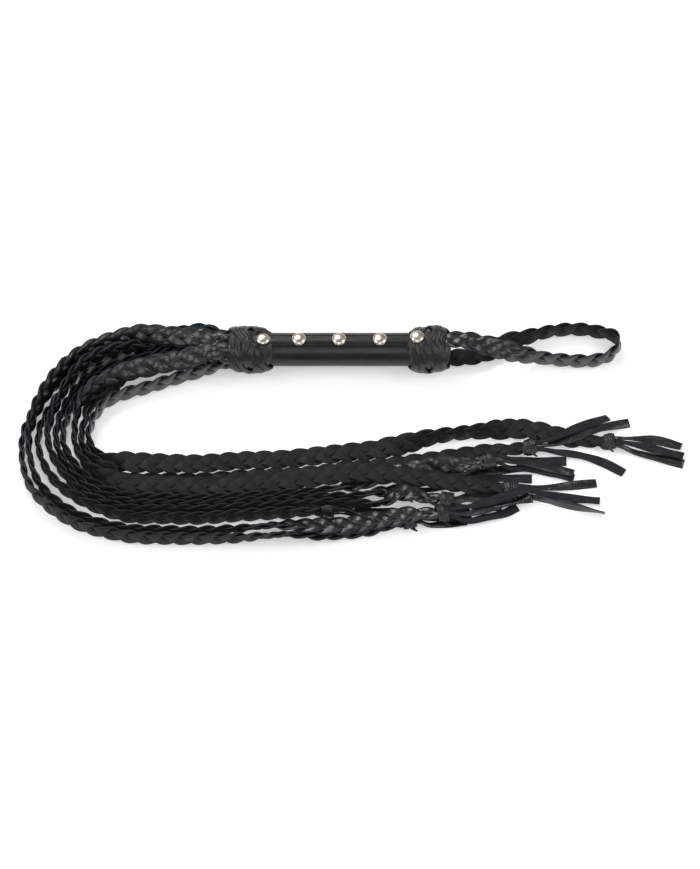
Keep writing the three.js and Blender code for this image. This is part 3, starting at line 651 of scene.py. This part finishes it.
# ---- the tails ----
TIE_HALF_WIDTH = 2.5
TIE_HALF_THICKNESS = 0.55
TIE_CLEARANCE = 0.5
TIE_WINDS = [  # turns, where it starts and ends along the tail, and how far it stands proud
    (2.2, -3.4, 2.6, 0),
    (-1.1, 2.4, -2.6, 0.75),
]
TIE_STEPS = 90
TIE_ROUNDING = 0.35  # how far a wound lace faces straight out from the tail's middle
TIE_END_LENGTH = 5.0
TIE_END_DRIFT = 3.0  # how far its tip drifts along the tail
TIE_END_SLANT = 0.4
TIE_END_SHARE = 0.8  # of the tie's width, where it leaves
TIE_END_TAPER = 0.75
TIE_END_STEPS = 8


def tail_share(route):
    """How wide a tail's braid is drawn along its route: narrow at the root and at the tie."""
    opened = ROOT_SHARE + (1 - ROOT_SHARE) * smoothstep(route.at, ROOT_HELD, ROOT_TAPER)
    tied = smoothstep(route.at, route.length - TIE_TAPER, route.length - TIE_TAPER / 2)
    return opened + (TIED_SHARE - opened) * tied


def wind_tie(shape, number, route, half_width, half_depth):
    end, along = route.line[-1], route.along[-1]
    across, through = route.across[-1], route.through[-1]
    for turns, first, last, proud in TIE_WINDS:
        angle = np.linspace(0, 2 * math.pi * turns, TIE_STEPS)[:, None] + number
        sideways = np.cos(angle) * across
        upward = np.sin(angle) * through
        out = sideways * (half_width + proud) + upward * (half_depth + proud)
        line = end + along * np.linspace(first, last, TIE_STEPS)[:, None] + out
        thick = unit(TIE_ROUNDING * unit(out) + unit(sideways * half_depth + upward * half_width))
        wide = unit(np.cross(np.gradient(line, axis=0), thick))
        shape.sweep(line, wide * TIE_HALF_WIDTH, thick * TIE_HALF_THICKNESS)


def leave_tie_end(shape, route, half_width, half_depth):
    """The tie's cut end, tapering to a point on the side nearer the front."""
    end, along = route.line[-1], route.along[-1]
    across, through = route.across[-1], route.through[-1]
    side = -np.sign(across[1]) or 1
    reach = np.linspace(0, 1, TIE_END_STEPS)[:, None]
    sideways = side * across * (half_width - 1 + TIE_END_LENGTH * reach)
    line = end + sideways + along * (1 + TIE_END_DRIFT * reach**2) + through * (half_depth / 2)
    half_end = TIE_HALF_WIDTH * TIE_END_SHARE * (1 - TIE_END_TAPER * reach)
    wide = unit(along - TIE_END_SLANT * side * across) * half_end
    shape.sweep(line, wide, np.tile(through * TIE_HALF_THICKNESS, (TIE_END_STEPS, 1)))


def add_tie(number, route):
    """A lace wound twice round the end of the braid, then once back across itself, its end left out."""
    half_width = BRAID[0] * TIED_SHARE / 2 + TIE_CLEARANCE
    half_depth = LACE_RISE + LACE_THICKNESS / 2 + TIE_CLEARANCE
    shape = Shape()
    wind_tie(shape, number, route, half_width, half_depth)
    leave_tie_end(shape, route, half_width, half_depth)
    tie = shape.build(f"tie_{number}", KNOT_SIDES)
    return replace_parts(tie, f"tail_{number}_tie")


def add_strips(number, tail, route):
    """The braid's three laces, cut off beyond the tie."""
    end, along, across = route.line[-1], route.along[-1], route.across[-1]
    side = np.sign(across[1] + across[2])
    roll = (tail["trailing"][-1][3] + 90) % 180 - 90
    made = []
    for i, points in enumerate(tail["strips"]):
        start = end + across * (1 - i) * side * STRIP_SPACING + along * STRIP_START
        held = [point_at(p, roll, STRIP) for p in (start, start + along * (TIE_LENGTH / 2 + 1))]
        strip = Route(held + points, STRIP, STRIP_STEP)
        share = STRIP_HELD_SHARE + (1 - STRIP_HELD_SHARE) * smoothstep(strip.at, TIE_LENGTH, STRIP_OPEN)
        curl = STRIP_CURL * np.sin(strip.at / STRIP_CURL_LENGTH + number + 2 * i)[:, None]
        wide = unit(strip.across + curl * strip.through) * (STRIP[0] / 2 * share)[:, None]
        thick = unit(strip.through - curl * strip.across) * STRIP[1] / 2
        flesh_up = (number + i) % 2 == 0
        sign = -1 if flesh_up else 1
        line = strip.line.copy()
        line[:, 2] = np.maximum(line[:, 2], TABLE_GAP + STRIP[1] / 2 + STRIP_CLEARANCE)
        shape = Shape()
        shape.sweep(line, wide * sign, thick * sign)
        piece = shape.build(f"strip_{number}_{i + 1}", STRIP_SIDES)
        made.append(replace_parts(piece, f"tail_{number}_strip_{i + 1}"))
    return made


def add_tails():
    for number, tail in enumerate(TAILS, 1):
        route = tail_route(tail)
        shape = Shape()
        add_braid(shape, route, tail_share(route), grain_side=-1)
        braid = shape.build(f"braid_{number}", BRAID_SIDES)
        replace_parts(braid, f"tail_{number}")
        pieces = [add_tie(number, route), *add_strips(number, tail, route)]


def add_wrist_loop():
    route = Route(WRIST_LOOP, BRAID, BRAID_STEP)
    from_root = np.minimum(route.at, route.length - route.at)
    opened = smoothstep(from_root, LOOP_ROOT_HELD, LOOP_ROOT_TAPER)
    share = LOOP_ROOT_SHARE + (1 - LOOP_ROOT_SHARE) * opened
    shape = Shape()
    add_braid(shape, route, share, grain_side=1)
    loop = shape.build("loop_braid", BRAID_SIDES, body=None)
    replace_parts(loop, "wrist_loop")
    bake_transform(loop)


# ---- the knots ----
KNOT_LEADS = 4  # times the lace goes round
KNOT_BIGHTS = 3  # turns back at each end
KNOT_STEPS = 1000
KNOT_REACH = 0.74  # how near the ends of the knot the bights come
KNOT_OVER = 0.85  # how far a lace rises and falls at a crossing
KNOT_LACE_HALF_WIDTH = 2.7
KNOT_LACE_HALF_THICKNESS = 0.95
KNOT_LACE_SPACING = 2.3  # from the middle of a pair of laces to each of the two
KNOT_PAIR_STEP = 0.15  # how far one lace of a pair lies below their middle, and the other above it
KNOT_UNEVEN_PLACE = 0.12
KNOT_UNEVEN_HEIGHT = 0.2
KNOT_PINCH = 0.14
KNOT_END_DRAW = 3.4  # how far the handle's end of a knot is drawn in
KNOT_MOUTH_DRAW = 2.3
KNOT_DRAW_POWER = 2.4
KNOT_DRAW_LIMIT = 1.1
# The backing closes the gaps between a knot's laces and turns in at its mouth.
BACKING_DEPTH = 1.1
BACKING_FOOT = 3.4
BACKING_SHARE = 0.92
MOUTH_SET_BACK = 2.4
MOUTH_ROUND = 0.2
MOUTH_TURN_IN = 0.9
MOUTH_FLARE = 0.3
MOUTH_DEPTH = 11
STUD_PRESS_REACH = 5
STUD_PRESS_RIM = 0.3


def draw_in(places, middle, half, to_mouth):
    """Draws a knot in towards its two ends, more at the handle than at the mouth."""
    places = np.array(places)
    share = to_mouth * (places[:, 0] - middle) / half
    share = np.clip(share, -KNOT_DRAW_LIMIT, KNOT_DRAW_LIMIT)
    drop = np.where(share < 0, KNOT_END_DRAW, KNOT_MOUTH_DRAW) * np.abs(share) ** KNOT_DRAW_POWER
    height = places[:, 2] - AXIS_Z
    radius = np.hypot(places[:, 1], height)
    scale = (radius - drop) / radius
    places[:, 1] *= scale
    places[:, 2] = AXIS_Z + height * scale
    return places


def press_round_studs(places):
    """Presses the knot's laces down round the heads of the nails driven through them."""
    places = np.array(places)
    for x, seat in STUDS:
        away = np.hypot(places[:, 0] - x, places[:, 1])
        above = (places[:, 2] > AXIS_Z) & (away < STUD_RADIUS + STUD_PRESS_REACH)
        limit = AXIS_Z + seat - STUD_LIFT + np.maximum(0, away - STUD_RADIUS - STUD_PRESS_RIM)
        places[above, 2] = np.minimum(places[above, 2], limit[above])
    return list(places)


def lay_knot_lace(shape, middle, reach, twist, beside):
    """One of the knot's two laces, which lie side by side all the way round."""
    angle = np.linspace(0, 2 * math.pi * KNOT_LEADS, KNOT_STEPS, endpoint=False)
    wave = KNOT_BIGHTS * angle / KNOT_LEADS
    share = KNOT_REACH * np.cos(wave + KNOT_UNEVEN_PLACE * np.sin(3 * angle + twist))
    weave = KNOT_OVER * np.sin((KNOT_LEADS - 1) * wave)
    uneven = np.sin(5 * angle + 2 * beside)
    radius = KNOT_LACE_RADIUS + weave - KNOT_PAIR_STEP * beside + KNOT_UNEVEN_HEIGHT * uneven
    out = np.stack([np.zeros(KNOT_STEPS), np.cos(angle), np.sin(angle)], axis=1)
    line = out * radius[:, None] + np.array([0, 0, AXIS_Z])
    line[:, 0] = middle + reach * share
    along = unit(np.roll(line, -1, axis=0) - np.roll(line, 1, axis=0))
    normal = unit(out - np.sum(out * along, axis=1, keepdims=True) * along)
    wide = np.cross(normal, along)
    line = line + wide * KNOT_LACE_SPACING * beside
    half_width = KNOT_LACE_HALF_WIDTH * (1 + KNOT_PINCH * uneven[:, None])
    thick = normal * KNOT_LACE_HALF_THICKNESS
    shape.sweep(line, wide * half_width, thick, True, CREASED_SECTION, CREASED_SIDES)


def backing_profile(middle, half, to_mouth):
    """The backing's outline as [x, radius], from its foot on the cover to inside the mouth."""
    handle_end = middle - to_mouth * half * BACKING_SHARE
    mouth = middle + to_mouth * half
    under = KNOT_LACE_RADIUS - BACKING_DEPTH
    return [
        (handle_end, COVER_RADIUS + BACKING_FOOT),
        (handle_end, under),
        (middle, under),
        (mouth - to_mouth * MOUTH_SET_BACK, under),
        (mouth - to_mouth * (MOUTH_SET_BACK - MOUTH_ROUND), under - MOUTH_TURN_IN),
        (mouth - to_mouth * MOUTH_DEPTH, under - MOUTH_TURN_IN - MOUTH_FLARE),
    ]


def add_knot(name, node, ends, mouth_at_start):
    """A woven knot: one lace goes round four times with three bights at each end, laid double."""
    middle, half = sum(ends) / 2, (ends[1] - ends[0]) / 2
    to_mouth = -1 if mouth_at_start else 1
    shape = Shape()
    for beside in (-1.0, 1.0):
        lay_knot_lace(shape, middle, to_mouth * half, ends[0], beside)
    backing = backing_profile(middle, half, to_mouth)
    shape.lathe(backing, BACKING_SIDES, lambda x, c, s: (x, c, s + AXIS_Z))
    shape.vertices = press_round_studs(draw_in(shape.vertices, middle, half, to_mouth))
    knot = shape.build(name, KNOT_SIDES)
    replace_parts(knot, node)


# ---- the cover and the studs ----
SEAM_DEG = 110  # where the upper layer of the wrapped sheet ends, from +Y towards +Z
LAP_DEG = 36
LAP_EASE_DEG = 12
COVER_STEP_DEG = 2
COVER_RINGS = 90
CUT_LIP = 0.25
SEAM_GAP_DEG = 0.5
CUT_BACK_DEG = 0.4  # the cut edge's top lies this far back from the seam
CUT_FORWARD_DEG = 0.2
COVER_WAVER = [(0.5, 17), (0.3, 6.1)]  # how many degrees the sheet wavers, over what length
COVER_UNEVEN = 0.04
COVER_UNEVEN_LENGTH = 9


def cover_turn():
    """The sheet's outer side as [degrees, radius], from under the lap's cut edge once round to it."""
    lap_start = SEAM_DEG + 360 - LAP_DEG
    lap_radius = COVER_RADIUS + LAP_RISE
    turn = [(SEAM_DEG + SEAM_GAP_DEG, COVER_RADIUS - CUT_LIP)]
    under = range(SEAM_DEG + COVER_STEP_DEG, lap_start, COVER_STEP_DEG)
    turn += [(degrees, COVER_RADIUS) for degrees in under]
    for beyond in range(0, LAP_DEG, COVER_STEP_DEG):
        turn.append((lap_start + beyond, COVER_RADIUS + LAP_RISE * min(1, beyond / LAP_EASE_DEG)))
    turn.append((SEAM_DEG + 360 - CUT_BACK_DEG, lap_radius))
    turn.append((SEAM_DEG + 360 + CUT_FORWARD_DEG, lap_radius - CUT_LIP))
    return turn


def add_cover():
    """The wrapped sheet, with its upper layer ending in a cut edge in front of the studs."""
    turn = cover_turn()
    around = len(turn)
    shape = Shape()
    for i in range(COVER_RINGS + 1):
        x = COVER_HALF_LENGTH * (2 * i / COVER_RINGS - 1)
        waver = sum(size * math.sin(x / length) for size, length in COVER_WAVER)
        for degrees, smooth_radius in turn:
            angle = math.radians(degrees + waver)
            radius = smooth_radius + COVER_UNEVEN * math.sin(x / COVER_UNEVEN_LENGTH + 3 * angle)
            place = [x, radius * math.cos(angle), AXIS_Z + radius * math.sin(angle)]
            shape.vertices.append(np.array(place))
            shape.uv.append((x, radius * angle))
    for i in range(COVER_RINGS):
        for k in range(around):
            a, b = i * around + k, i * around + (k + 1) % around
            shape.add_face((a, b, b + around, a + around), EDGE if k >= around - 2 else GRAIN)
    cover = shape.build("cover", COVER_SIDES)
    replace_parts(cover, "handle_cover")


def dome_profile(base):
    """A nail head's outline as [height, radius], from under its rim up to the top of its dome."""
    rim = base + STUD_RIM
    profile = [(base - SHANK_SHOWN, SHANK_RADIUS), (base, SHANK_TOP_RADIUS)]
    profile += [(base, STUD_RADIUS), (rim, STUD_RADIUS)]
    for k in range(1, DOME_STEPS + 1):
        angle = math.pi / 2 * k / DOME_STEPS
        radius = max(LEAST_RADIUS, (STUD_RADIUS - DOME_SET_BACK) * math.cos(angle))
        profile.append((rim + (STUD_HEIGHT - STUD_RIM) * math.sin(angle), radius))
    return profile


def add_studs():
    for number, (x, seat) in enumerate(STUDS, 1):
        shape = Shape()
        shape.lathe(dome_profile(AXIS_Z + seat + STUD_LIFT), STUD_SIDES, lambda up, c, s: (c + x, s, up))
        stud = shape.build(f"nail_head_{number}", [NICKEL])
        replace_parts(stud, f"stud_{number}")


def dress_hidden_nodes():
    for node, material in (("handle_core", WOOD), ("tail_binding", THREAD), ("loop_binding", THREAD)):
        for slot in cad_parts[node].material_slots:
            slot.material = material


# ---- studio ----
LIGHTS = [  # name, place, power in watts and width
    ("back", (-0.35, 0.9, 1.2), 10, 0.7),
    ("left", (-1.3, -0.2, 1.1), 9, 1.0),
    ("right", (1.3, -0.2, 1.1), 9, 1.0),
    ("front", (0, -1.2, 1.3), 7, 1.0),
]
LIT_PLACE = Vector((0, -0.05, 0))
PAPER = {
    "Base Color": (0.92, 0.92, 0.92, 1),
    "Roughness": 0.9,
    "Emission Color": (1, 1, 1, 1),
    "Emission Strength": 0.34,
}
FLOOR_HALF = 6
SURROUND = {"Color": (1, 1, 1, 1), "Strength": 0.26}


def add_light(name, place, power, size):
    data = bpy.data.lights.new(name, "AREA")
    data.energy = power
    data.size = size
    light = bpy.data.objects.new(name, data)
    light.location = place
    light.rotation_euler = (LIT_PLACE - Vector(place)).to_track_quat("-Z", "Y").to_euler()
    bpy.context.scene.collection.objects.link(light)


def add_floor():
    far = FLOOR_HALF
    mesh = bpy.data.meshes.new("floor")
    mesh.from_pydata([(-far, -far, 0), (far, -far, 0), (far, far, 0), (-far, far, 0)], [], [(0, 1, 2, 3)])
    mesh.materials.append(Finish("paper", PAPER).material)
    floor = bpy.data.objects.new("floor", mesh)
    bpy.context.scene.collection.objects.link(floor)


def add_studio():
    add_floor()
    world = bpy.data.worlds.new("studio")
    world.use_nodes = True
    set_inputs(world.node_tree.nodes["Background"], SURROUND)
    bpy.context.scene.world = world
    for light in LIGHTS:
        add_light(*light)
    bpy.context.scene.view_settings.view_transform = "Standard"


add_camera()
add_tails()
add_wrist_loop()
add_knot("tail_knot_laces", "tail_end_knot", TAIL_KNOT, True)
add_knot("loop_knot_laces", "loop_end_knot", LOOP_KNOT, False)
add_cover()
add_studs()
dress_hidden_nodes()
add_studio()
